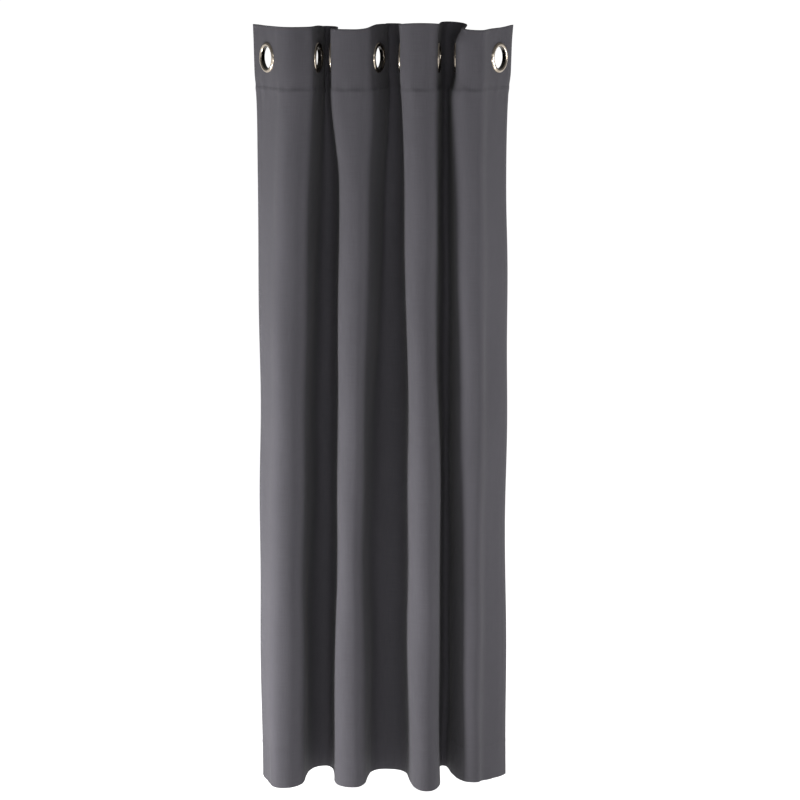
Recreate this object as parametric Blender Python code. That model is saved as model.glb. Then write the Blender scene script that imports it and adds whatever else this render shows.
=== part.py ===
"""Grommet-top fabric curtain panel, hanging in accordion folds from a rod that runs along X.

Metres. The origin is on the axis of the rod at the middle of the heading, X runs along the rod,
the room side (the face of the cloth) is -Y and +Z is up. Nothing is built for the rod itself.
"""

import math

import bmesh
import bpy
import numpy as np

# Cut of the panel
PANEL_WIDTH = 1.321
GROMMET_COUNT = 8
SIDE_MARGIN = 0.057
PITCH = (PANEL_WIDTH - 2 * SIDE_MARGIN) / (GROMMET_COUNT - 1)

# Heights above the rod's axis
TOP_Z = 0.052
RING_Z = -0.013
HEADING_Z = -0.080
MIDDLE_Z = -0.790
HEM_TOP_Z = -1.472
HEM_Z = -1.548

# Layers of the cloth
CLOTH = 0.0012
STIFFENER = 0.0006
LAYER_GAP = 0.0003
FOLD_IN = 0.0005

# Metal rings
RING_OUTER = 0.0303
RING_BORE = 0.0222
BARREL_OUTER = 0.0231
HOLE = 0.0234
DOME = 0.0034
BACK_DOME = 0.0026
RING_STEPS = 24

# Folds: the place of each grommet on the rod, and how far the cloth turns to the room there
GROMMETS = (
    (-0.2340, 60.0),
    (-0.1320, -77.0),
    (-0.1040, 90.0),
    (-0.0090, -69.0),
    (0.0360, 92.0),
    (0.1120, -85.0),
    (0.1480, 92.0),
    (0.2346, -57.0),
)
FLAT_HALF = RING_OUTER + 0.0025
ZONE_Z = RING_Z - FLAT_HALF - 0.003
CREST_HANDLE = 0.024
FLANK_HANDLE = 0.012
EDGE_TURN = 66.0
EDGE_BEND = 0.005
CURVE_STEPS = 5
CLOTH_CREST_GAP = 0.0008
LAYER_CREST_GAP = 0.0030

# Side hems and label
SIDE_HEM = 0.025
LABEL_WIDTH = 0.016
LABEL_HEIGHT = 0.040
LABEL_THICK = 0.0004

COLOURS = {
    "cloth": (0.085, 0.083, 0.088, 1.0),
    "stiffener": (0.75, 0.75, 0.72, 1.0),
    "metal": (0.62, 0.58, 0.52, 1.0),
    "label": (0.85, 0.85, 0.83, 1.0),
}


def clear_scene():
    for obj in list(bpy.data.objects):
        bpy.data.objects.remove(obj, do_unlink=True)


def direction(degrees):
    """Unit vector along the cloth, left to right, where a positive angle turns to the room."""
    angle = math.radians(degrees)
    return np.array([math.cos(angle), -math.sin(angle)])


def left_normal(along):
    """The way the back of the cloth looks."""
    return np.array([-along[1], along[0]])


def bezier(p0, p1, p2, p3, t):
    point = (1 - t) ** 3 * p0 + 3 * (1 - t) ** 2 * t * p1 + 3 * (1 - t) * t**2 * p2 + t**3 * p3
    slope = 3 * (1 - t) ** 2 * (p1 - p0) + 6 * (1 - t) * t * (p2 - p1) + 3 * t**2 * (p3 - p2)
    return point, slope / np.linalg.norm(slope)


def flank(grommet, crest, side, steps):
    """Points and normals from the flat zone of a grommet to a crest: side 1 is right, -1 left."""
    centre = np.array([grommet[0], 0.0])
    along = direction(grommet[1])
    start = centre + side * FLAT_HALF * along
    first = start + side * FLANK_HANDLE * along
    second = crest - np.array([side * CREST_HANDLE, 0.0])
    samples = [bezier(start, first, second, crest, k / steps) for k in range(steps + 1)]
    return [(point, left_normal(side * slope)) for point, slope in samples]


def trimmed(columns, cut):
    """The same columns with the last one brought back along its own facet by the cut."""
    (before, first), (last, second) = columns[-2:]
    share = 1 - cut / np.linalg.norm(last - before)
    end = (before + share * (last - before), first + share * (second - first))
    return columns[:-1] + [end]


def span_length(left, right, crest):
    total = 2 * FLAT_HALF
    for grommet, side in ((left, 1), (right, -1)):
        points = np.array([point for point, _ in flank(grommet, crest, side, 40)])
        total += np.linalg.norm(np.diff(points, axis=0), axis=1).sum()
    return total


def crest_between(left, right):
    """The crest midway along the rod, as deep as one pitch of cloth reaches."""
    middle = (left[0] + right[0]) / 2
    toward = -1.0 if left[1] > 0 else 1.0
    near, far = 0.030, 0.110
    for _ in range(40):
        depth = (near + far) / 2
        crest = np.array([middle, toward * depth])
        if span_length(left, right, crest) < PITCH:
            near = depth
        else:
            far = depth
    return np.array([middle, toward * (near + far) / 2])


def right_edge():
    """End of the flat zone of the last grommet, the bend of the side hem and the panel's edge."""
    place, angle = GROMMETS[-1]
    flat_end = np.array([place, 0.0]) + FLAT_HALF * direction(angle)
    corner = flat_end + EDGE_BEND * direction((angle - EDGE_TURN) / 2)
    end = corner + (SIDE_MARGIN - FLAT_HALF - EDGE_BEND) * direction(-EDGE_TURN)
    return flat_end, corner, end


def side_hem_right_columns():
    """The strip of side hem at the right, from its stitch line to the edge of the cloth."""
    place, angle = GROMMETS[-1]
    along = direction(angle)
    flap = direction(-EDGE_TURN)
    flat_end, corner, end = right_edge()
    inner = np.array([place, 0.0]) + (SIDE_MARGIN - SIDE_HEM) * along
    flat = left_normal(along)
    turned = left_normal(flap)
    return [(inner, flat), (flat_end, flat), (corner, turned), (end, turned)]


def label_columns():
    """A narrow blank label on the back of the right side hem."""
    flap = direction(-EDGE_TURN)
    corner = right_edge()[1]
    turned = left_normal(flap)
    return [(corner, turned), (corner + LABEL_WIDTH * flap, turned)]


def stations(index, crests, gap):
    """Point and normal of each column of a pleat, left to right, and which one the ring follows."""
    grommet = GROMMETS[index]
    along = direction(grommet[1])
    if index > 0:
        left = flank(grommet, crests[index - 1], -1, CURVE_STEPS)
        columns = trimmed(left, gap / 2)[::-1]
    else:
        start = np.array([grommet[0], 0.0]) - (FLAT_HALF - CLOTH_CREST_GAP / 2) * along
        columns = [(start, left_normal(along))]
    zone = len(columns) - 1
    if index < GROMMET_COUNT - 1:
        columns += trimmed(flank(grommet, crests[index], 1, CURVE_STEPS), gap / 2)
    else:
        flat_end, corner, end = right_edge()
        turned = left_normal(direction(-EDGE_TURN))
        columns += [(flat_end, left_normal(along)), (corner, turned), (end, turned)]
    return columns, zone


def edge_stations():
    """The strip of side hem at the left, bent back from the first pleat."""
    grommet = GROMMETS[0]
    along = direction(grommet[1])
    flap = direction(EDGE_TURN)
    start = np.array([grommet[0], 0.0]) - (FLAT_HALF + CLOTH_CREST_GAP / 2) * along
    corner = start - EDGE_BEND * direction((grommet[1] + EDGE_TURN) / 2)
    end = corner - (SIDE_MARGIN - FLAT_HALF - EDGE_BEND) * flap
    turned = left_normal(flap)
    return [(end, turned), (corner, turned), (start, left_normal(along))]


def material(kind):
    found = bpy.data.materials.get(kind)
    if found:
        return found
    made = bpy.data.materials.new(kind)
    made.use_nodes = True
    shader = made.node_tree.nodes["Principled BSDF"]
    shader.inputs["Base Color"].default_value = COLOURS[kind]
    shader.inputs["Roughness"].default_value = 0.25 if kind == "metal" else 0.9
    shader.inputs["Metallic"].default_value = 1.0 if kind == "metal" else 0.0
    return made


def object_of(name, mesh, kind):
    bmesh.ops.recalc_face_normals(mesh, faces=mesh.faces)
    data = bpy.data.meshes.new(name)
    mesh.to_mesh(data)
    mesh.free()
    data.materials.append(material(kind))
    obj = bpy.data.objects.new(name, data)
    bpy.context.scene.collection.objects.link(obj)
    return obj


def layer(name, columns, rows, inner, outer, kind, zone=None):
    """A closed layer of cloth between two offsets behind the face, with a ring hole in one cell."""
    mesh = bmesh.new()
    flat = []
    faces = []
    count = len(columns)
    for point, normal in columns:
        for z in rows:
            flat.append((point, normal, z))
    for i in range(count - 1):
        for j in range(len(rows) - 1):
            a = i * len(rows) + j
            b = (i + 1) * len(rows) + j
            if i == zone and j == len(rows) - 2:
                faces += holed_cell(flat, (a, b, b + 1, a + 1), columns, zone)
            else:
                faces.append((a, b, b + 1, a + 1))
    sides = []
    for offset in (inner, outer):
        made = []
        for point, normal, z in flat:
            place = point + normal * offset
            made.append(mesh.verts.new((place[0], place[1], z)))
        sides.append(made)
    used = {}
    for face in faces:
        mesh.faces.new([sides[0][k] for k in face])
        mesh.faces.new([sides[1][k] for k in reversed(face)])
        for a, b in zip(face, face[1:] + face[:1]):
            used[(a, b)] = True
    for a, b in used:
        if (b, a) not in used:
            mesh.faces.new((sides[0][b], sides[0][a], sides[1][a], sides[1][b]))
    return object_of(name, mesh, kind)


def holed_cell(flat, corners, columns, zone):
    """Faces of the flat cell at a grommet: its four corners joined to the circle of the hole."""
    left, normal = columns[zone]
    right = columns[zone + 1][0]
    width = np.linalg.norm(right - left)
    along = (right - left) / width
    middle = width - FLAT_HALF
    first = len(flat)
    for k in range(RING_STEPS):
        angle = math.radians(-135.0 + 360.0 * k / RING_STEPS)
        reach = middle + HOLE * math.cos(angle)
        flat.append((left + reach * along, normal, RING_Z + HOLE * math.sin(angle)))
    faces = []
    quarter = RING_STEPS // 4
    for q in range(4):
        corner = corners[q]
        after = corners[(q + 1) % 4]
        half = quarter // 2
        for k in range(q * quarter - half, q * quarter + half):
            a = first + k % RING_STEPS
            b = first + (k + 1) % RING_STEPS
            faces.append((corner, b, a))
        turn = first + (q * quarter + half) % RING_STEPS
        faces.append((corner, after, turn))
    return faces


def ring(name, index, profile):
    """A turned metal ring: profile points are radius and distance behind the face of the cloth."""
    place, angle = GROMMETS[index]
    along = direction(angle)
    normal = left_normal(along)
    mesh = bmesh.new()
    loops = []
    for k in range(RING_STEPS):
        turn = math.radians(-135.0 + 360.0 * k / RING_STEPS)
        loop = []
        for radius, behind in profile:
            x = place + along[0] * radius * math.cos(turn) + normal[0] * behind
            y = along[1] * radius * math.cos(turn) + normal[1] * behind
            loop.append(mesh.verts.new((x, y, RING_Z + radius * math.sin(turn))))
        loops.append(loop)
    for k in range(RING_STEPS):
        here = loops[k]
        there = loops[(k + 1) % RING_STEPS]
        for m in range(len(profile)):
            n = (m + 1) % len(profile)
            mesh.faces.new((here[m], here[n], there[n], there[m]))
    return object_of(name, mesh, "metal")


def main():
    clear_scene()
    pairs = zip(GROMMETS, GROMMETS[1:])
    crests = [crest_between(left, right) for left, right in pairs]

    face = (-CLOTH / 2, CLOTH / 2)
    stiff_start = face[1] + LAYER_GAP
    stiff = (stiff_start, stiff_start + STIFFENER)
    facing = (stiff[1] + LAYER_GAP, stiff[1] + LAYER_GAP + CLOTH)
    turned = (face[1] + LAYER_GAP, face[1] + LAYER_GAP + CLOTH)

    cloth_rows = (HEM_Z, HEM_TOP_Z, MIDDLE_Z, HEADING_Z, ZONE_Z, TOP_Z)
    heading_rows = (HEADING_Z, ZONE_Z, TOP_Z - FOLD_IN)
    hem_rows = (HEM_Z + FOLD_IN, HEM_TOP_Z)
    side_rows = (HEM_TOP_Z + 2 * FOLD_IN, MIDDLE_Z, HEADING_Z - 2 * FOLD_IN)

    edge = edge_stations()
    layer("cloth_left_edge", edge, cloth_rows, *face, "cloth")
    layer("facing_left_edge", edge, heading_rows, *facing, "cloth")
    layer("stiffener_left_edge", edge, heading_rows, *stiff, "stiffener")
    layer("hem_left_edge", edge, hem_rows, *turned, "cloth")
    layer("side_hem_left", edge, side_rows, *turned, "cloth")

    for index in range(GROMMET_COUNT):
        number = index + 1
        columns, zone = stations(index, crests, CLOTH_CREST_GAP)
        layer(f"cloth_pleat_{number}", columns, cloth_rows, *face, "cloth", zone)
        columns, zone = stations(index, crests, LAYER_CREST_GAP)
        layer(f"stiffener_{number}", columns, heading_rows, *stiff, "stiffener", zone)
        layer(f"facing_{number}", columns, heading_rows, *facing, "cloth", zone)
        layer(f"hem_pleat_{number}", columns, hem_rows, *turned, "cloth")

        front = face[0] - LAYER_GAP
        back = facing[1] + LAYER_GAP
        front_profile = (
            (RING_OUTER, front),
            (RING_OUTER, front - 0.35 * DOME),
            (RING_OUTER - 0.0030, front - 0.88 * DOME),
            ((RING_OUTER + RING_BORE) / 2, front - DOME),
            (RING_BORE + 0.0025, front - 0.85 * DOME),
            (RING_BORE, front - 0.25 * DOME),
            (RING_BORE, back + BACK_DOME - 0.0004),
            (BARREL_OUTER, back + BACK_DOME - 0.0004),
            (BARREL_OUTER, front),
        )
        back_profile = (
            (BARREL_OUTER + 0.0003, back),
            (BARREL_OUTER + 0.0003, back + 0.70 * BACK_DOME),
            ((RING_OUTER + RING_BORE) / 2, back + BACK_DOME),
            (RING_OUTER - 0.0025, back + 0.80 * BACK_DOME),
            (RING_OUTER, back + 0.30 * BACK_DOME),
            (RING_OUTER, back),
        )
        ring(f"grommet_front_{number}", index, front_profile)
        ring(f"grommet_back_{number}", index, back_profile)

    layer("side_hem_right", side_hem_right_columns(), side_rows, *turned, "cloth")
    label_z = HEM_TOP_Z + 0.030
    label_rows = (label_z, label_z + LABEL_HEIGHT)
    start = turned[1] + LAYER_GAP
    layer("care_label", label_columns(), label_rows, start, start + LABEL_THICK, "label")


main()
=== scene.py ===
"""Grommet curtain panel in charcoal cloth: the looks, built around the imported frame.

Metres. X runs along the rod, the room side is -Y, +Z is up, and the origin is on the rod's axis.
"""

import math

import bpy
import numpy as np
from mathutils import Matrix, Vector

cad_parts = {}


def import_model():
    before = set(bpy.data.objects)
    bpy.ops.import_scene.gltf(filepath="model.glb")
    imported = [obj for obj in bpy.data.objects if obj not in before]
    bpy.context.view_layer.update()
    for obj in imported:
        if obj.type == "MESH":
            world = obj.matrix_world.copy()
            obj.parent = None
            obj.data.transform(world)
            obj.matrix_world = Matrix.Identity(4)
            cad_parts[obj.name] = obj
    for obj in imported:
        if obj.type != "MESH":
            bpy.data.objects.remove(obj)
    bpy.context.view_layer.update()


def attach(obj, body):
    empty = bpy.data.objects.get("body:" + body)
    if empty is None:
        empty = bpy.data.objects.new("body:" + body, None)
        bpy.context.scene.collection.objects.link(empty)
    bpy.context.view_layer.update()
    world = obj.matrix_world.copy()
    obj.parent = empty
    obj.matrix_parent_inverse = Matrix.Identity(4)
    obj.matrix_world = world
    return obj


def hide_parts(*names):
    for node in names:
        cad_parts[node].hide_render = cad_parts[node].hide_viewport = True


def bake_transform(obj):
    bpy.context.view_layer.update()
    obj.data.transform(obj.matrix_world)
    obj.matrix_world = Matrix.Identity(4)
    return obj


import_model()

# Cut of the cloth
PANEL_WIDTH = 1.321
SIDE_MARGIN = 0.057
COUNT = 8
PITCH = (PANEL_WIDTH - 2 * SIDE_MARGIN) / (COUNT - 1)
TOP_Z = 0.052
RING_Z = -0.013
SEAM_Z = -0.080
STITCH_Z = -0.073
HEM_TOP_Z = -1.472
HEM_Z = -1.548
SIDE_HEM = 0.025

# Offsets of the two skins from the middle of the face cloth, positive towards the wall, and the
# square of the share of the thickness that is left at a rounded edge
SKIN = 0.0006
HEADING_BACK = 0.0030
HEM_BACK = 0.0021
EDGE_LEFT = 0.10

# Rings, the hole in the cloth, and how far past the hole a cell of the grid is still left open
RING_OUTER = 0.0303
RING_BORE = 0.0222
HOLE = 0.0237
HOLE_SLACK = 0.0012

# The plan of the cloth at the rings: x, y and turn to the room at each grommet's line, and y of
# each crest between two lines. Then the lines' y and turns and the crests' y at the hem, and how
# much further the lines turn at the top edge.
RING_LINES = (
    (-0.2340, 0.0, 60), (-0.1320, 0.0, -77), (-0.1040, 0.0, 90), (-0.0090, 0.0, -69),
    (0.0360, 0.0, 92), (0.1120, 0.0, -85), (0.1480, 0.0, 92), (0.2346, 0.0, -57),
)
RING_CREST_Y = (-0.0609, 0.0770, -0.0585, 0.0745, -0.0636, 0.0757, -0.0629)
HEM_LINE_Y = (-0.012, 0.005, 0.0, 0.005, 0.0, 0.0, 0.0, -0.008)
HEM_TURNS = (72, -86, 88, -82, 82, -92, 68, -42)
HEM_CREST_Y = (-0.0600, 0.0810, -0.0580, 0.0620, -0.0760, 0.0760, -0.0520)
TOP_LEAN = (0, 0, 9, 0, 0, 0, 7, 0)

# How the folds wander on their way down: x of the lines and of the crests at each height, how far
# the folds have gone from their shape at the rings to their shape at the hem, how far they have
# opened from the flat board of the heading, and the turns of the two free edges. The x were read
# off the photo at a few heights and adjusted; the rest was chosen.
HEIGHTS = (0.052, 0.018, -0.044, -0.092, -0.261, -0.551, -0.847, -1.195, -1.548)
LINE_X = (
    (-0.2345, -0.1330, -0.0995, -0.0100, 0.0335, 0.1145, 0.1640, 0.2350),
    (-0.2340, -0.1320, -0.1040, -0.0090, 0.0360, 0.1120, 0.1480, 0.2346),
    (-0.2340, -0.1320, -0.1040, -0.0090, 0.0360, 0.1120, 0.1480, 0.2346),
    (-0.2320, -0.1345, -0.1035, -0.0065, 0.0395, 0.1130, 0.1390, 0.2305),
    (-0.2345, -0.1430, -0.0905, -0.0160, 0.0440, 0.1125, 0.1430, 0.2275),
    (-0.2415, -0.1510, -0.0915, -0.0250, 0.0470, 0.1145, 0.1480, 0.2290),
    (-0.2455, -0.1600, -0.0950, -0.0330, 0.0502, 0.1165, 0.1530, 0.2300),
    (-0.2490, -0.1650, -0.1025, -0.0355, 0.0510, 0.1180, 0.1550, 0.2290),
    (-0.2530, -0.1660, -0.1060, -0.0340, 0.0512, 0.1200, 0.1570, 0.2270),
)
CREST_X = (
    (-0.1830, -0.1165, -0.0565, 0.0135, 0.0740, 0.1330, 0.1950),
    (-0.1830, -0.1180, -0.0565, 0.0135, 0.0740, 0.1300, 0.1913),
    (-0.1830, -0.1180, -0.0565, 0.0135, 0.0740, 0.1300, 0.1913),
    (-0.1840, -0.1180, -0.0570, 0.0145, 0.0750, 0.1275, 0.1890),
    (-0.1890, -0.1170, -0.0550, 0.0120, 0.0780, 0.1285, 0.1870),
    (-0.1960, -0.1200, -0.0580, 0.0100, 0.0820, 0.1300, 0.1890),
    (-0.2030, -0.1240, -0.0630, 0.0070, 0.0860, 0.1330, 0.1900),
    (-0.2090, -0.1260, -0.0670, 0.0050, 0.0890, 0.1320, 0.1900),
    (-0.2130, -0.1270, -0.0690, 0.0040, 0.0910, 0.1275, 0.1890),
)
FALLEN = (0.0, 0.0, 0.0, 0.02, 0.15, 0.40, 0.60, 0.80, 1.0)
OPENED = (0.0, 0.0, 0.0, 0.15, 0.70, 1.0, 1.0, 1.0, 1.0)
LEFT_TURN = (48, 50, 55, 62, 68, 79, 83, 85, 86)
RIGHT_TURN = (-58, -66, -74, -80, -72, -72, -72, -69, -64)

# Half width of the flat part at a line, and how roundly the cloth turns between it and a crest, as
# shares of the depth and of the width of the turn, at the heading and lower down. A crest's width
# has a little added, so that a narrow fold stays round.
FLAT_HALF = (0.0320, 0.0180)
FLANK_SHARE = 0.50
CREST_SHARE = (0.52, 0.62)
CREST_EXTRA = 0.002

# Where along a free edge's strip it starts and stops bending, as shares of its length
EDGE_BEND = (-0.2, 0.9)

# The slow sideways drift of a fold down the cloth, as two waves: how far, how fast, and how far
# apart in phase two folds are. It sets in between two heights, and moves a crest less in y.
DRIFTS = ((0.0016, 7.1, 1.7), (0.0010, 15.3, 2.9))
DRIFT_FROM, DRIFT_FULL = -0.10, -0.45
CREST_DRIFT_Y = 0.6

# How far the top edge and the hem stand above or below their usual height: at the left edge, then
# at each grommet's line and crest in turn, and at the right edge
TOP_LIFT = (
    0.0000, -0.0010, -0.0010, -0.0010, -0.0050, -0.0050, -0.0055, 0.0020, 0.0005, 0.0020, 0.0070,
    0.0030, 0.0040, -0.0020, -0.0070, -0.0050, -0.0015,
)
HEM_LIFT = (
    -0.0045, -0.0020, -0.0010, 0.0000, -0.0035, 0.0000, 0.0000, 0.0000, -0.0033, 0.0000, -0.0030,
    0.0000, -0.0010, 0.0000, 0.0085, 0.0000, -0.0040,
)

# Heights where the lifts of the top edge and of the hem fade out
TOP_LIFT_FROM = -0.030
HEM_LIFT_FROM = -0.9

# Relief pushed out of the cloth towards the room: the cloth under the seam, its puckers, the
# stitches' dimples, the heading's board, slow waves, and the hem's upper edge and loose waves.
# Then how fast they fade, the heights between which they set in, and how far from a ring's edge.
SEAM_STEP = 0.0014
PUCKER = 0.0013
DIMPLES = 0.0003
BOARD = 0.0006
SLOW_WAVES = 0.0011
HEM_RIDGE = 0.0002
HEM_WAVES = 0.0003
SEAM_FADE_DOWN = 0.034
SEAM_FADE_UP = 0.010
DIMPLE_FADE = 0.009
RIDGE_FADE = 0.0025
DIMPLE_SHIFT = -0.0356
DIMPLE_DROP = 0.006
STEP_EDGE = (STITCH_Z - 0.006, STITCH_Z + 0.003)
BOARD_EDGE = (SEAM_Z - 0.02, SEAM_Z + 0.01)
SLOW_EDGE = (-0.12, -0.40)
HEM_WAVES_FROM = -1.40
CALM_RING = (0.001, 0.022)

# Columns of the grid: half width of the evenly spaced ones at a grommet, and how many there are
# across them, from there to a crest, and from the outer ones to a side edge
FLAT_GRID = 0.033
FLAT_COLUMNS = 16
CURVE_COLUMNS = 14
EDGE_COLUMNS = 8
PATH_STEPS = 60

# Rows of the grid, close together at the rings, the seams and the edges. They lie this far above
# the top edge, the seam, the top of the hem and the hem's edge, with even rows between them:
# first height, last height and how many.
TOP_ROWS = (0.0, -0.0006, -0.0018, -0.0040)
RING_ROWS = (0.0440, -0.0640, 26)
SEAM_ROWS = (
    0.0110, 0.0070, 0.0040, 0.0020, 0.0008, 0.0, -0.0002, -0.0012, -0.0026, -0.0050, -0.0090,
    -0.0150, -0.0230, -0.0330, -0.0450, -0.0600,
)
LONG_ROWS = (-0.1650, -1.4400, 46)
HEM_ROWS = (0.0160, 0.0060, 0.0015, 0.0, -0.0002, -0.0020, -0.0070, -0.0180, -0.0360)
LAST_ROWS = (0.0220, 0.0100, 0.0040, 0.0012, 0.0004, 0.0)

# Stitches: pitch, half length, radius, sides, where along the half length they are thickest, how
# proud of the cloth they lie as a share of the radius, and how far inside a hem's edge they run
STITCH_PITCH = 0.0034
STITCH_HALF = 0.0012
STITCH_RADIUS = 0.00022
STITCH_SIDES = 5
STITCH_TAPER = 0.6
STITCH_PROUD = 0.55
HEM_INSET = 0.002

# Care label: size, place beside the right edge and above the hem's top, and how far its lower end
# bellies out
LABEL_SIZE = (0.016, 0.040)
LABEL_INSET = 0.0215
LABEL_ABOVE_HEM = 0.070
LABEL_THICK = 0.0004
LABEL_BELLY = 0.0012
LABEL_CELLS = (10, 18)

FLOOR_Z = -1.60
FLOOR_HALF = 90


# ---------------------------------------------------------------- the shape of the cloth

def smooth(a, b, x):
    t = np.clip((x - a) / (b - a), 0.0, 1.0)
    return t * t * (3 - 2 * t)


def slopes(values):
    """Slopes at each height of a curve through the values that never overshoots them."""
    step = np.diff(np.array(HEIGHTS))[:, None]
    rise = np.diff(values, axis=0) / step
    made = np.zeros_like(values)
    made[0], made[-1] = rise[0], rise[-1]
    for k in range(1, len(values) - 1):
        same = rise[k - 1] * rise[k] > 0
        total = np.where(same, rise[k - 1] + rise[k], 1.0)
        made[k] = np.where(same, 2 * rise[k - 1] * rise[k] / total, 0.0)
    return made


# One row of numbers for each height: x of lines, x of crests, fallen, opened and edge turns
TABLE = np.column_stack([LINE_X, CREST_X, FALLEN, OPENED, LEFT_TURN, RIGHT_TURN])
SLOPES = slopes(TABLE)


def row_of_table(z):
    """The row of the table at any height, on a smooth curve through its own heights."""
    hs = np.array(HEIGHTS)
    k = int(np.clip(np.searchsorted(-hs, -z) - 1, 0, len(hs) - 2))
    step = hs[k + 1] - hs[k]
    t = float(np.clip((z - hs[k]) / step, 0.0, 1.0))
    return (
        (1 + 2 * t) * (1 - t) ** 2 * TABLE[k]
        + t * (1 - t) ** 2 * step * SLOPES[k]
        + t * t * (3 - 2 * t) * TABLE[k + 1]
        + t * t * (t - 1) * step * SLOPES[k + 1]
    )


def folds_at(z):
    """The lines, the crests, their roundness and the turns of the free edges at a height."""
    row = row_of_table(z)
    line_x, crest_x = row[:COUNT], row[COUNT : 2 * COUNT - 1]
    fallen, opened, left, right = row[2 * COUNT - 1 :]
    rings = np.array(RING_LINES, float)
    lines = np.stack(
        [
            line_x,
            rings[:, 1] + fallen * np.array(HEM_LINE_Y),
            rings[:, 2] + fallen * (np.array(HEM_TURNS, float) - rings[:, 2]),
        ],
        axis=1,
    )
    ring_y = np.array(RING_CREST_Y)
    crests = np.stack([crest_x, ring_y + fallen * (np.array(HEM_CREST_Y) - ring_y)], axis=1)
    flat = FLAT_HALF[0] + opened * (FLAT_HALF[1] - FLAT_HALF[0])
    share = CREST_SHARE[0] + opened * (CREST_SHARE[1] - CREST_SHARE[0])
    lean = np.interp(z, (HEIGHTS[1], HEIGHTS[0]), (0.0, 1.0))
    lines[:, 2] += lean * np.array(TOP_LEAN)
    return lines, crests, flat, share, (left, right)


def along_of(degrees):
    """The way along the cloth, seen from above, where it is turned this far to the room."""
    a = math.radians(degrees)
    return np.array([math.cos(a), -math.sin(a)])


def curve(p0, p1, p2, p3, t):
    """Points of a cubic Bezier curve."""
    t = t[:, None]
    return (1 - t) ** 3 * p0 + 3 * (1 - t) ** 2 * t * p1 + 3 * (1 - t) * t**2 * p2 + t**3 * p3


def wander(z, seed):
    """A slow sideways drift of a fold down the cloth, none at the heading."""
    deep = smooth(DRIFT_FROM, DRIFT_FULL, z)
    return deep * sum(far * math.sin(fast * z + apart * seed) for far, fast, apart in DRIFTS)


def spread(path, shares):
    """Points at these shares of a path's length."""
    path = np.array(path)
    run = np.concatenate([[0], np.cumsum(np.linalg.norm(np.diff(path, axis=0), axis=1))])
    at = np.array(shares) * run[-1]
    return np.stack([np.interp(at, run, path[:, k]) for k in range(2)], axis=1)


def plan(z):
    """Points of every column at a height, from the left edge to the right edge."""
    lines, crests, flat, share, edges = folds_at(z)
    t = np.linspace(0, 1, PATH_STEPS + 1)
    marks = []
    paths = []
    for i in range(COUNT):
        x, y, turn = lines[i]
        along = along_of(turn)
        centre = np.array([x + wander(z, i), y])
        marks.append((centre, along, turn))
    paths.append([marks[0][0]] + edge_strip(*marks[0], edges[0], flat, -1))
    for i in range(COUNT - 1):
        crest = crests[i] + np.array([wander(z, i + 20), CREST_DRIFT_Y * wander(z, i + 40)])
        for (centre, along, _), side in ((marks[i], 1), (marks[i + 1], -1)):
            begin = centre + side * flat * along
            wide, deep = np.abs(crest - begin)
            handle = share * wide + CREST_EXTRA
            lead = begin + side * FLANK_SHARE * deep * along
            half = curve(begin, lead, crest - np.array([side * handle, 0.0]), crest, t)
            paths.append([centre] + list(half))
    paths.append([marks[-1][0]] + edge_strip(*marks[-1], edges[1], flat, 1))
    points = []
    for k, path in enumerate(paths):
        forward = k % 2 == 1                          # every path starts at a grommet's line
        inside = (S >= BREAKS[k] - 1e-9) & (S <= BREAKS[k + 1] + 1e-9)
        share = (S[inside] - BREAKS[k]) / (BREAKS[k + 1] - BREAKS[k])
        made = spread(path if forward else path[::-1], share)
        points += list(made[1:] if k else made)
    return np.array(points)


def edge_strip(centre, along, turn, goal, flat, side):
    """The free edge of the cloth beyond the last grommet's flat part, bent back to the wall."""
    length = SIDE_MARGIN - flat
    point = centre + side * flat * along
    made = [point]
    for k in range(PATH_STEPS):
        bend = turn + (goal - turn) * smooth(*EDGE_BEND, (k + 0.5) / PATH_STEPS)
        point = point + side * length / PATH_STEPS * along_of(bend)
        made.append(point)
    return made


def heights():
    """The rows of the grid, from the top edge to the hem."""
    rows = [TOP_Z + z for z in TOP_ROWS]
    rows += list(np.linspace(*RING_ROWS))
    rows += [SEAM_Z + z for z in SEAM_ROWS]
    rows += list(np.linspace(*LONG_ROWS))
    rows += [HEM_TOP_Z + z for z in HEM_ROWS]
    rows += [HEM_Z + z for z in LAST_ROWS]
    return np.array(rows)


def flat_places():
    """Where each column lies on the flat cloth, in metres from its left edge."""
    places = []
    for i in range(COUNT):
        middle = SIDE_MARGIN + i * PITCH
        first, last = middle - FLAT_GRID, middle + FLAT_GRID
        if i == 0:
            places += list(np.linspace(0, first, EDGE_COLUMNS + 1)[:-1])
        places += list(np.linspace(first, last, FLAT_COLUMNS + 1))
        if i < COUNT - 1:
            crest = middle + PITCH / 2
            places += list(np.linspace(last, crest, CURVE_COLUMNS + 1)[1:])
            places += list(np.linspace(crest, first + PITCH, CURVE_COLUMNS + 1)[1:-1])
        else:
            places += list(np.linspace(last, PANEL_WIDTH, EDGE_COLUMNS + 1)[1:])
    return np.array(places)


def ripple(s, seed, waves):
    """A smooth wandering value along the cloth, between about -1 and 1."""
    total = np.zeros_like(s)
    rng = np.random.default_rng(seed)
    for wave in waves:
        total += np.sin(2 * math.pi * s / wave + rng.uniform(0, 2 * math.pi))
    return total / len(waves)


S = flat_places()
Z = heights()
# Along the flat cloth: the left edge, each line and crest in turn, and the right edge
BREAKS = [0.0] + [SIDE_MARGIN + k * PITCH / 2 for k in range(2 * COUNT - 1)] + [PANEL_WIDTH]
BASE = np.array([plan(z) for z in Z])                 # rows x columns x 2
ROWS, COLS = BASE.shape[:2]


def line_column(i):
    """The column that runs through a grommet's middle."""
    return EDGE_COLUMNS + FLAT_COLUMNS // 2 + i * (FLAT_COLUMNS + 2 * CURVE_COLUMNS)


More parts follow.
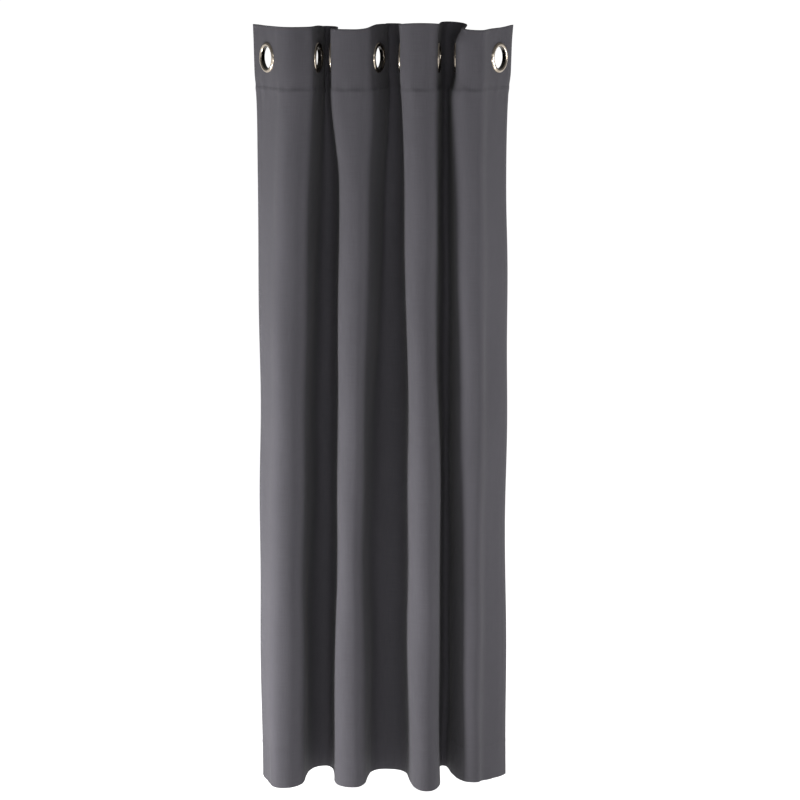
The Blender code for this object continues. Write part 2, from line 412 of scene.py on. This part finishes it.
def lifts(values):
    """A smooth line along the cloth through values at the edges, the grommets and the crests."""
    out = np.zeros_like(S)
    for k in range(len(BREAKS) - 1):
        inside = (S >= BREAKS[k]) & (S <= BREAKS[k + 1])
        t = smooth(BREAKS[k], BREAKS[k + 1], S[inside])
        out[inside] = values[k] * (1 - t) + values[k + 1] * t
    return out


def ring_calm():
    """0 where a ring grips the cloth and 1 away from it, for each row and column."""
    calm = np.ones((ROWS, COLS))
    for i in range(COUNT):
        ds = S - (SIDE_MARGIN + i * PITCH)
        r = np.sqrt(ds[None, :] ** 2 + (Z[:, None] - RING_Z) ** 2)
        calm = np.minimum(calm, smooth(RING_OUTER + CALM_RING[0], RING_OUTER + CALM_RING[1], r))
    return calm


CALM = ring_calm()


def relief():
    """How far the cloth stands out to the room of its plain folds, for each row and column."""
    step = smooth(*STEP_EDGE, Z)[:, None]
    fade = np.where(Z < STITCH_Z, SEAM_FADE_DOWN, SEAM_FADE_UP)
    near_seam = np.exp(-np.abs(Z - STITCH_Z) / fade)[:, None]
    pucker = ripple(S, 3, (0.037, 0.055, 0.026))[None, :] * near_seam
    dimples = ripple(S + DIMPLE_SHIFT, 5, (0.019, 0.013))[None, :]
    dimples = dimples * np.exp(-np.abs(Z - STITCH_Z + DIMPLE_DROP) / DIMPLE_FADE)[:, None]
    heading = smooth(*BOARD_EDGE, Z)[:, None]
    board = ripple(S, 9, (0.061, 0.037))[None, :] * heading
    slow = (
        np.sin(9.0 * Z + 0.4)[:, None] * ripple(S, 11, (0.19, 0.12))[None, :]
        + np.sin(21.0 * Z + 1.9)[:, None] * ripple(S, 12, (0.15, 0.083))[None, :] * 0.5
    )
    slow = slow * smooth(*SLOW_EDGE, Z)[:, None]
    ridge = np.exp(-((Z - HEM_TOP_Z) / RIDGE_FADE) ** 2)[:, None]
    hem_waves = ripple(S, 15, (0.043, 0.029))[None, :] * smooth(HEM_WAVES_FROM, HEM_Z, Z)[:, None]
    return (
        SEAM_STEP * (1 - step) * near_seam
        + PUCKER * pucker
        + DIMPLES * dimples
        + BOARD * board
        + SLOW_WAVES * slow
        + HEM_RIDGE * ridge
        + HEM_WAVES * hem_waves
    )


def normals_of(pts):
    """Unit normals of a grid of points on the cloth, looking to the wall."""
    across = np.gradient(pts, axis=1)
    down = np.gradient(pts, axis=0)
    normals = np.cross(across, down)
    length = np.linalg.norm(normals, axis=2, keepdims=True)
    return normals / np.maximum(length, 1e-12)


def surface():
    """Points of the middle of the face cloth and the unit normals that look to the wall."""
    pts = np.zeros((ROWS, COLS, 3))
    pts[..., :2] = BASE
    top = smooth(TOP_LIFT_FROM, TOP_Z, Z)[:, None] * lifts(TOP_LIFT)[None, :]
    low = smooth(HEM_LIFT_FROM, HEM_Z, Z)[:, None] * lifts(HEM_LIFT)[None, :]
    pts[..., 2] = Z[:, None] + top + low
    pts -= normals_of(pts) * (relief() * CALM)[..., None]
    return pts, normals_of(pts)


MIDDLE, NORMAL = surface()


def skins():
    """The face and back of the cloth with its layers: heading, hems, and rounded folded edges."""
    heading = (Z > SEAM_Z - 0.0001)[:, None]
    hem = (Z < HEM_TOP_Z - 0.0001)[:, None]
    side = ((S < SIDE_HEM) | (S > PANEL_WIDTH - SIDE_HEM))[None, :]
    back = np.where(heading, HEADING_BACK, np.where(hem | side, HEM_BACK, SKIN))
    back = back + np.zeros((ROWS, COLS))
    front = np.full((ROWS, COLS), -SKIN)
    middle = (front + back) / 2
    ends = np.minimum(TOP_Z - Z, Z - HEM_Z)[:, None]
    sides = np.minimum(S, PANEL_WIDTH - S)[None, :]
    near = np.minimum(ends, sides)
    half = (back - front) / 2
    inside = np.clip(near / half, 0.0, 1.0)
    keep = np.sqrt(np.clip(1 - (1 - inside) ** 2, EDGE_LEFT, 1.0))
    front = middle + (front - middle) * keep
    back = middle + (back - middle) * keep
    return MIDDLE + NORMAL * front[..., None], MIDDLE + NORMAL * back[..., None]


FACE, BACK = skins()


# ---------------------------------------------------------------- mesh helpers

def link(obj):
    bpy.context.scene.collection.objects.link(obj)
    return obj


def mesh_object(name, verts, faces, material, smooth_faces=True):
    data = bpy.data.meshes.new(name)
    data.from_pydata([tuple(v) for v in verts], [], faces)
    data.materials.append(material)
    data.polygons.foreach_set("use_smooth", [smooth_faces] * len(data.polygons))
    data.update()
    return link(bpy.data.objects.new(name, data))


def hole_cells():
    """Grid cells left open under the rings, and the grid points round each hole.

    A point is kept with its ring's number and how far it lies from the ring's middle.
    """
    gone = set()
    rim = {}
    for i in range(COUNT):
        col = line_column(i)
        centre = SIDE_MARGIN + i * PITCH
        mine = set()
        for r in range(ROWS - 1):
            for c in range(col - FLAT_COLUMNS // 2, col + FLAT_COLUMNS // 2):
                s, z = (S[c] + S[c + 1]) / 2 - centre, (Z[r] + Z[r + 1]) / 2 - RING_Z
                if math.hypot(s, z) < HOLE + HOLE_SLACK:
                    mine.add((r, c))
        for r, c in mine:
            for row, column in ((r, c), (r, c + 1), (r + 1, c), (r + 1, c + 1)):
                around = {(row - a, column - b) for a in (0, 1) for b in (0, 1)}
                if not around <= mine:
                    rim[(row, column)] = (i, S[column] - centre, Z[row] - RING_Z)
        gone |= mine
    return gone, rim


GONE, HOLE_POINTS = hole_cells()


def round_holes(skin, offset):
    """Pulls the points round each hole on to its circle, in the plane of the cloth there."""
    for (r, c), (i, s, z) in HOLE_POINTS.items():
        x, y, turn = RING_LINES[i]
        along = along_of(turn)
        normal = np.array([-along[1], along[0]])
        scale = HOLE / math.hypot(s, z)
        at = np.array([x, y]) + along * s * scale + normal * offset
        skin[r, c] = (at[0], at[1], RING_Z + z * scale)


round_holes(FACE, -SKIN)
round_holes(BACK, HEADING_BACK)


# Kinds of face in a piece of cloth
FRONT, REAR, RIM = range(3)


def cloth_piece(name, first, last, material):
    """The closed piece of cloth between two columns, with its skins, edges and UVs in metres."""
    cols = range(first, last + 1)
    index = {}
    verts = []
    for skin, grid in ((FRONT, FACE), (REAR, BACK)):
        for r in range(ROWS):
            for c in cols:
                index[(skin, r, c)] = len(verts)
                verts.append(grid[r, c])
    cells = [
        (r, c)
        for r in range(ROWS - 1)
        for c in range(first, last)
        if (r, c) not in GONE
    ]
    faces = []
    kinds = []
    edges = set()
    for r, c in cells:
        corners = ((r, c), (r + 1, c), (r + 1, c + 1), (r, c + 1))
        faces.append([index[(FRONT, *p)] for p in corners])
        kinds.append(FRONT)
        faces.append([index[(REAR, *p)] for p in reversed(corners)])
        kinds.append(REAR)
        for a, b in zip(corners, corners[1:] + corners[:1]):
            edges.add((a, b))
    for a, b in edges:
        if (b, a) not in edges:
            ends = ((FRONT, *b), (FRONT, *a), (REAR, *a), (REAR, *b))
            faces.append([index[end] for end in ends])
            kinds.append(RIM)
    used = sorted({v for f in faces for v in f})
    renumber = {v: k for k, v in enumerate(used)}
    data = bpy.data.meshes.new(name)
    data.from_pydata([tuple(verts[v]) for v in used], [], [[renumber[v] for v in f] for f in faces])
    data.materials.append(material)
    grid_of = {renumber[v]: key for key, v in index.items() if v in renumber}
    uv = data.uv_layers.new(name="cloth")
    normals = []
    for poly, kind in zip(data.polygons, kinds):
        poly.use_smooth = kind != RIM
        for k in poly.loop_indices:
            _, r, c = grid_of[data.loops[k].vertex_index]
            uv.data[k].uv = (S[c], Z[r])
            if kind == FRONT:
                normals.append(tuple(-FACE_NORMAL[r, c]))
            elif kind == REAR:
                normals.append(tuple(BACK_NORMAL[r, c]))
            else:
                normals.append((0.0, 0.0, 0.0))     # Blender's own normal
    data.normals_split_custom_set(normals)
    data.update()
    return link(bpy.data.objects.new(name, data))


FACE_NORMAL = normals_of(FACE)
BACK_NORMAL = normals_of(BACK)


# ---------------------------------------------------------------- materials

def nodes_for(name):
    material = bpy.data.materials.new(name)
    material.use_nodes = True
    tree = material.node_tree
    shader = tree.nodes["Principled BSDF"]
    return material, tree, shader


def node(tree, kind, **values):
    made = tree.nodes.new(kind)
    for key, value in values.items():
        setattr(made, key, value)
    return made


def math_node(tree, operation, a, b=None):
    made = node(tree, "ShaderNodeMath", operation=operation)
    for slot, value in enumerate((a, b)):
        if value is None:
            continue
        if isinstance(value, (int, float)):
            made.inputs[slot].default_value = value
        else:
            tree.links.new(value, made.inputs[slot])
    return made.outputs[0]


def weighted(tree, *parts):
    """The sum of some values, each times its weight."""
    total = None
    for value, weight in parts:
        term = math_node(tree, "MULTIPLY", value, weight)
        total = term if total is None else math_node(tree, "ADD", total, term)
    return total


def bumped(tree, shader, height, strength, distance):
    made = node(tree, "ShaderNodeBump")
    made.inputs["Strength"].default_value = strength
    made.inputs["Distance"].default_value = distance
    tree.links.new(height, made.inputs["Height"])
    tree.links.new(made.outputs[0], shader.inputs["Normal"])


def ramp(tree, fac, stops):
    made = node(tree, "ShaderNodeValToRGB")
    while len(made.color_ramp.elements) < len(stops):
        made.color_ramp.elements.new(0.5)
    for element, (place, colour) in zip(made.color_ramp.elements, stops):
        element.position = place
        element.color = (*colour, 1.0)
    tree.links.new(fac, made.inputs[0])
    return made.outputs[0]


def noise(tree, vector, scale, detail=3.0, roughness=0.5):
    made = node(tree, "ShaderNodeTexNoise")
    made.inputs["Scale"].default_value = scale
    made.inputs["Detail"].default_value = detail
    made.inputs["Roughness"].default_value = roughness
    tree.links.new(vector, made.inputs["Vector"])
    return made.outputs[0]


def stretched(tree, vector, scale):
    made = node(tree, "ShaderNodeMapping")
    made.inputs["Scale"].default_value = scale
    tree.links.new(vector, made.inputs["Vector"])
    return made.outputs[0]


def cloth_material(name, dark, light, weave=0.0009):
    """A dense plain weave of matt yarn: threads both ways, slubs, and a slow drift of shade."""
    material, tree, shader = nodes_for(name)
    uv = node(tree, "ShaderNodeUVMap", uv_map="cloth").outputs[0]
    split = node(tree, "ShaderNodeSeparateXYZ")
    tree.links.new(uv, split.inputs[0])
    warp, weft = (
        math_node(tree, "SINE", math_node(tree, "MULTIPLY", split.outputs[k], 2 * math.pi / weave))
        for k in range(2)
    )
    cross = math_node(tree, "MULTIPLY", warp, weft)
    slub_up = noise(tree, stretched(tree, uv, (900.0, 22.0, 1.0)), 1.0, 2.0)
    slub_over = noise(tree, stretched(tree, uv, (26.0, 850.0, 1.0)), 1.0, 2.0)
    slow = noise(tree, stretched(tree, uv, (5.0, 1.6, 1.0)), 1.0, 4.0, 0.55)
    shade = weighted(tree, (slub_up, 0.34), (slub_over, 0.26), (slow, 0.40), (cross, 0.035))
    colour = ramp(tree, shade, ((0.30, dark), (0.70, light)))
    tree.links.new(colour, shader.inputs["Base Color"])
    rough = math_node(tree, "MULTIPLY_ADD", slub_up, 0.12)
    rough.node.inputs[2].default_value = 0.80
    tree.links.new(rough, shader.inputs["Roughness"])
    shader.inputs["Sheen Weight"].default_value = 0.05
    shader.inputs["Sheen Roughness"].default_value = 0.45
    shader.inputs["Specular IOR Level"].default_value = 0.08
    height = weighted(tree, (cross, 0.5), (slub_up, 0.6), (slub_over, 0.5))
    bumped(tree, shader, height, 0.35, 0.0002)
    return material


def object_coordinates(tree):
    return node(tree, "ShaderNodeTexCoord").outputs["Object"]


def metal_material(name, dark, light, barrel_painted_shade):
    """Polished warm nickel, a little hazy, with painted shade darkening the barrel."""
    material, tree, shader = nodes_for(name)
    at = object_coordinates(tree)
    haze = noise(tree, at, 45.0, 4.0, 0.6)
    fine = noise(tree, at, 900.0, 2.0)
    split = node(tree, "ShaderNodeSeparateXYZ")
    tree.links.new(node(tree, "ShaderNodeUVMap", uv_map="ring").outputs[0], split.inputs[0])
    # Mask for the painted shade: 0 down the barrel, where a near-black colour is mixed in, and 1 on
    # the ring's face
    rim = (RING_BORE + 0.0002) / RING_OUTER
    face = ramp(tree, split.outputs[1], ((rim, (0.0, 0.0, 0.0)), (rim + 0.035, (1.0, 1.0, 1.0))))
    colour = ramp(tree, haze, ((0.30, dark), (0.70, light)))
    mix = node(tree, "ShaderNodeMix", data_type="RGBA")
    mix.inputs["A"].default_value = (*barrel_painted_shade, 1.0)
    tree.links.new(face, mix.inputs["Factor"])
    tree.links.new(colour, mix.inputs["B"])
    tree.links.new(mix.outputs["Result"], shader.inputs["Base Color"])
    rough = ramp(tree, haze, ((0.25, (0.15, 0.15, 0.15)), (0.75, (0.25, 0.25, 0.25))))
    tree.links.new(rough, shader.inputs["Roughness"])
    shader.inputs["Metallic"].default_value = 1.0
    bumped(tree, shader, fine, 0.12, 0.0001)
    return material


def thread_material(name, dark, light):
    """Twisted polyester thread."""
    material, tree, shader = nodes_for(name)
    at = object_coordinates(tree)
    twist = noise(tree, at, 2200.0, 2.0)
    colour = ramp(tree, twist, ((0.3, dark), (0.7, light)))
    tree.links.new(colour, shader.inputs["Base Color"])
    shader.inputs["Roughness"].default_value = 0.55
    shader.inputs["Sheen Weight"].default_value = 0.05
    shader.inputs["Specular IOR Level"].default_value = 0.1
    bumped(tree, shader, twist, 0.3, 0.0001)
    return material


CLOTH = cloth_material("charcoal_cloth", (0.0355, 0.0340, 0.0385), (0.0545, 0.0520, 0.0590))
# The metal's last colour is the painted shade down the rings' barrels
METAL = metal_material("warm_nickel", (0.34, 0.29, 0.23), (0.56, 0.49, 0.41), (0.05, 0.045, 0.04))
THREAD = thread_material("charcoal_thread", (0.026, 0.025, 0.029), (0.042, 0.040, 0.046))
LABEL = cloth_material("label_tape", (0.62, 0.62, 0.60), (0.80, 0.80, 0.77), 0.0006)


# ---------------------------------------------------------------- the rings

def profile_curve(points, steps):
    """A closed smooth outline through the given points of radius and depth."""
    pts = np.array(points, float)
    out = []
    n = len(pts)
    for k in range(n):
        p0, p1, p2, p3 = pts[k - 1], pts[k], pts[(k + 1) % n], pts[(k + 2) % n]
        for j in range(steps):
            t = j / steps
            out.append(
                0.5
                * (
                    2 * p1
                    + (p2 - p0) * t
                    + (2 * p0 - 5 * p1 + 4 * p2 - p3) * t * t
                    + (3 * p1 - p0 - 3 * p2 + p3) * t**3
                )
            )
    return out


# Outlines of the rings' sections, as radius from the rod's axis and depth towards the wall
FRONT_RING = (
    (0.0233, -0.0009), (0.0301, -0.0009), (0.0304, -0.0014), (0.0300, -0.0026),
    (0.0286, -0.0037), (0.0265, -0.0042), (0.0243, -0.0038), (0.0229, -0.0028),
    (0.0223, -0.0015), (0.0222, 0.0010), (0.0222, 0.0046), (0.0225, 0.0056),
    (0.0231, 0.0059), (0.0234, 0.0052), (0.0231, 0.0030), (0.0231, 0.0002),
)
BACK_RING = (
    (0.0237, 0.0033), (0.0299, 0.0033), (0.0303, 0.0037), (0.0298, 0.0048),
    (0.0282, 0.0056), (0.0264, 0.0059), (0.0247, 0.0057), (0.0239, 0.0051),
)


def ring_object(name, i, outline, steps=72, smoothing=3):
    """A ring turned from its outline, on a grommet's line."""
    x, y, turn = RING_LINES[i]
    along = along_of(turn)
    normal = np.array([-along[1], along[0]])
    loop = profile_curve(outline, smoothing)
    verts = []
    for k in range(steps):
        a = 2 * math.pi * k / steps
        for radius, depth in loop:
            px = x + along[0] * radius * math.cos(a) + normal[0] * depth
            py = y + along[1] * radius * math.cos(a) + normal[1] * depth
            verts.append((px, py, RING_Z + radius * math.sin(a)))
    n = len(loop)
    faces = []
    for k in range(steps):
        for m in range(n):
            a, b = k * n + m, k * n + (m + 1) % n
            c, d = ((k + 1) % steps) * n + (m + 1) % n, ((k + 1) % steps) * n + m
            faces.append((a, b, c, d))
    obj = mesh_object(name, verts, faces, METAL)
    outward(obj)
    # Angle and radius, which the metal reads to paint shade down the barrel
    uv = obj.data.uv_layers.new(name="ring")
    for item in obj.data.loops:
        k, m = divmod(item.vertex_index, n)
        uv.data[item.index].uv = (k / steps, loop[m][0] / RING_OUTER)
    return obj


def outward(obj):
    """Turns a closed mesh's faces so that they look out."""
    data = obj.data
    volume = 0.0
    for poly in data.polygons:
        ids = list(poly.vertices)
        a = data.vertices[ids[0]].co
        for j in range(1, len(ids) - 1):
            volume += a.dot(data.vertices[ids[j]].co.cross(data.vertices[ids[j + 1]].co))
    if volume < 0:
        data.flip_normals()


# ---------------------------------------------------------------- stitches

def stitch_mesh(spots, half=STITCH_HALF, radius=STITCH_RADIUS):
    """Small spindle-shaped stitches, each lying in the cloth at a point, along a direction."""
    verts = []
    faces = []
    for point, way, out in spots:
        side = np.cross(way, out)
        tip = len(verts)
        low, high = tip + 1, tip + 1 + STITCH_SIDES
        end = high + STITCH_SIDES
        verts.append(point - way * half)
        for share in (-STITCH_TAPER, STITCH_TAPER):
            for k in range(STITCH_SIDES):
                a = 2 * math.pi * k / STITCH_SIDES
                ring = out * math.cos(a) * radius + side * math.sin(a) * radius
                verts.append(point + way * half * share + ring + out * radius * STITCH_PROUD)
        verts.append(point + way * half)
        for k in range(STITCH_SIDES):
            n = (k + 1) % STITCH_SIDES
            faces.append((tip, low + n, low + k))
            faces.append((low + k, low + n, high + n, high + k))
            faces.append((end, high + k, high + n))
    return verts, faces


def unit(v):
    return v / max(np.linalg.norm(v), 1e-12)


def sample(grid, r, c):
    """The value of a grid between its rows and columns."""
    r0, c0 = min(int(r), ROWS - 2), min(int(c), COLS - 2)
    fr, fc = r - r0, c - c0
    top = grid[r0, c0] * (1 - fc) + grid[r0, c0 + 1] * fc
    low = grid[r0 + 1, c0] * (1 - fc) + grid[r0 + 1, c0 + 1] * fc
    return top * (1 - fr) + low * fr


def row_at(z):
    return float(np.interp(-z, -Z, np.arange(ROWS)))


def column_at(s):
    return float(np.interp(s, S, np.arange(COLS)))


def seam_spots(first, last, z, skin, normals, sign):
    """Stitches across the cloth at a height, between two columns."""
    spots = []
    low, high = S[first] + STITCH_HALF, S[last] - STITCH_HALF
    k = math.ceil(low / STITCH_PITCH)
    while k * STITCH_PITCH < high:
        s = k * STITCH_PITCH
        r, c = row_at(z), column_at(s)
        point = sample(skin, r, c)
        way = unit(sample(skin, r, column_at(s + 0.001)) - sample(skin, r, column_at(s - 0.001)))
        out = unit(sample(normals, r, c)) * sign
        spots.append((point, way, out))
        k += 1
    return spots


def side_spots(s, skin, normals, sign):
    """Stitches down the cloth at a side hem, from the heading to the bottom hem."""
    spots = []
    z = SEAM_Z - 0.003
    while z > HEM_TOP_Z + 0.002:
        r, c = row_at(z), column_at(s)
        point = sample(skin, r, c)
        way = unit(sample(skin, row_at(z - 0.001), c) - sample(skin, row_at(z + 0.001), c))
        out = unit(sample(normals, r, c)) * sign
        spots.append((point, way, out))
        z -= STITCH_PITCH
    return spots


# ---------------------------------------------------------------- put together

PARTS = ["left_edge"] + [f"pleat_{i + 1}" for i in range(COUNT)]


def hold(obj, k):
    """The left edge and the seven folds stay fixed in place; the right end follows its body."""
    if k == 0:
        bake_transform(obj)
    elif k < COUNT:
        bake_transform(obj)
    else:
        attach(obj, PARTS[COUNT])


for i in range(COUNT):
    front = ring_object(f"ring_front_{i + 1}", i, FRONT_RING)
    back = ring_object(f"ring_back_{i + 1}", i, BACK_RING)
    for obj, node_name in ((front, f"grommet_front_{i + 1}"), (back, f"grommet_back_{i + 1}")):
        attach(obj, PARTS[i + 1])
        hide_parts(node_name)

for k in range(COUNT + 1):
    first = 0 if k == 0 else line_column(k - 1)
    last = COLS - 1 if k == COUNT else line_column(k)
    name = "cloth_left_end" if k == 0 else "cloth_right_end" if k == COUNT else f"cloth_fold_{k}"
    piece = cloth_piece(name, first, last, CLOTH)
    hold(piece, k)
    part = PARTS[k]
    tail = part.removeprefix("pleat_")
    replaced = [f"cloth_{part}", f"stiffener_{tail}", f"facing_{tail}", f"hem_{part}"]
    if k == 0:
        replaced.append("side_hem_left")
    if k == COUNT:
        replaced.append("side_hem_right")
    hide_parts(*replaced)

    spots = seam_spots(first, last, STITCH_Z, FACE, FACE_NORMAL, -1)
    spots += seam_spots(first, last, STITCH_Z, BACK, BACK_NORMAL, 1)
    spots += seam_spots(first, last, HEM_TOP_Z, FACE, FACE_NORMAL, -1)
    spots += seam_spots(first, last, HEM_TOP_Z - HEM_INSET, BACK, BACK_NORMAL, 1)
    if k in (0, COUNT):
        beside = SIDE_HEM - HEM_INSET
        s = beside if k == 0 else PANEL_WIDTH - beside
        spots += side_spots(s, FACE, FACE_NORMAL, -1)
        spots += side_spots(s, BACK, BACK_NORMAL, 1)
    verts, faces = stitch_mesh(spots)
    thread = mesh_object(f"stitches_{name.removeprefix('cloth_')}", verts, faces, THREAD)
    hold(thread, k)


def care_label():
    """A blank folded label tucked under the right side hem, on the wall side."""
    wide, high = LABEL_SIZE
    across, down = LABEL_CELLS
    front, rear = [], []
    for j in range(down + 1):
        z = HEM_TOP_Z + LABEL_ABOVE_HEM - high * j / down
        for i in range(across + 1):
            s = PANEL_WIDTH - LABEL_INSET + wide * i / across
            r, c = row_at(z), column_at(s)
            out = unit(sample(BACK_NORMAL, r, c))
            belly = LABEL_BELLY * math.sin(math.pi * i / across) * (j / down) ** 1.5
            point = sample(BACK, r, c) + out * (LABEL_THICK + belly)
            front.append(point)
            rear.append(point + out * LABEL_THICK)
    n = across + 1
    half = len(front)
    faces = []
    for j in range(down):
        for i in range(across):
            a, b, c, d = j * n + i, j * n + i + 1, (j + 1) * n + i + 1, (j + 1) * n + i
            faces += [(a, b, c, d), (half + d, half + c, half + b, half + a)]
    top = [(0, i, 0, i + 1) for i in range(across)]
    foot = [(down, i + 1, down, i) for i in range(across)]
    left = [(j + 1, 0, j, 0) for j in range(down)]
    right = [(j, across, j + 1, across) for j in range(down)]
    for j0, i0, j1, i1 in top + foot + left + right:
        a, b = j0 * n + i0, j1 * n + i1
        faces.append((b, a, half + a, half + b))
    obj = mesh_object("blank_care_label", front + rear, faces, LABEL)
    uv = obj.data.uv_layers.new(name="cloth")
    for loop in obj.data.loops:
        at = obj.data.vertices[loop.vertex_index].co
        uv.data[loop.index].uv = (at.y, at.z)
    outward(obj)
    return obj


label = care_label()
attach(label, PARTS[COUNT])
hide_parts("care_label")


# ---------------------------------------------------------------- floor, light and camera

def floor():
    corners = ((-1, -1), (1, -1), (1, 1), (-1, 1))
    verts = [(x * FLOOR_HALF, y * FLOOR_HALF, FLOOR_Z) for x, y in corners]
    material, _, shader = nodes_for("pale_floor")
    shader.inputs["Base Color"].default_value = (0.93, 0.93, 0.93, 1.0)
    shader.inputs["Roughness"].default_value = 0.9
    shader.inputs["Specular IOR Level"].default_value = 0.1
    shader.inputs["Emission Color"].default_value = (1.0, 1.0, 1.0, 1.0)
    shader.inputs["Emission Strength"].default_value = 0.86
    obj = mesh_object("floor", verts, [(0, 1, 2, 3)], material, False)


def area_light(name, place, aim, size, power):
    data = bpy.data.lights.new(name, "AREA")
    data.shape = "RECTANGLE"
    data.size, data.size_y = size
    data.energy = power
    obj = link(bpy.data.objects.new(name, data))
    obj.location = place
    obj.rotation_mode = "QUATERNION"
    obj.rotation_quaternion = (Vector(aim) - Vector(place)).to_track_quat("-Z", "Y")


def world():
    made = bpy.data.worlds.new("studio")
    bpy.context.scene.world = made
    made.use_nodes = True
    back = made.node_tree.nodes["Background"]
    back.inputs["Color"].default_value = (1.0, 1.0, 1.0, 1.0)
    back.inputs["Strength"].default_value = 0.2


def camera():
    """Fitted to where the rings, the top edge and the hem fall in the photo."""
    data = bpy.data.cameras.new("camera")
    data.sensor_width = 36.0
    data.lens = 107.6
    data.clip_end = 200.0
    obj = link(bpy.data.objects.new("camera", data))
    obj.location = (0.0343, -4.874, 0.2764)
    obj.rotation_euler = (math.radians(90.0 - 11.547), 0.0, 0.0)
    bpy.context.scene.camera = obj


floor()
world()
area_light("low_left", (-1.5, -0.6, -1.40), (-0.1, 0.0, -1.15), (0.5, 0.9), 92)
area_light("right", (2.3, -0.6, -0.8), (0.0, 0.0, -0.8), (0.6, 1.6), 50)
area_light("front", (0.0, -3.6, -1.25), (0.0, 0.0, -1.0), (1.4, 0.5), 38)
area_light("heading", (0.0, -1.2, 0.35), (0.0, 0.0, 0.0), (0.9, 0.3), 1.7)
camera()

bpy.context.scene.view_settings.view_transform = "Standard"
bpy.context.scene.view_settings.look = "None"
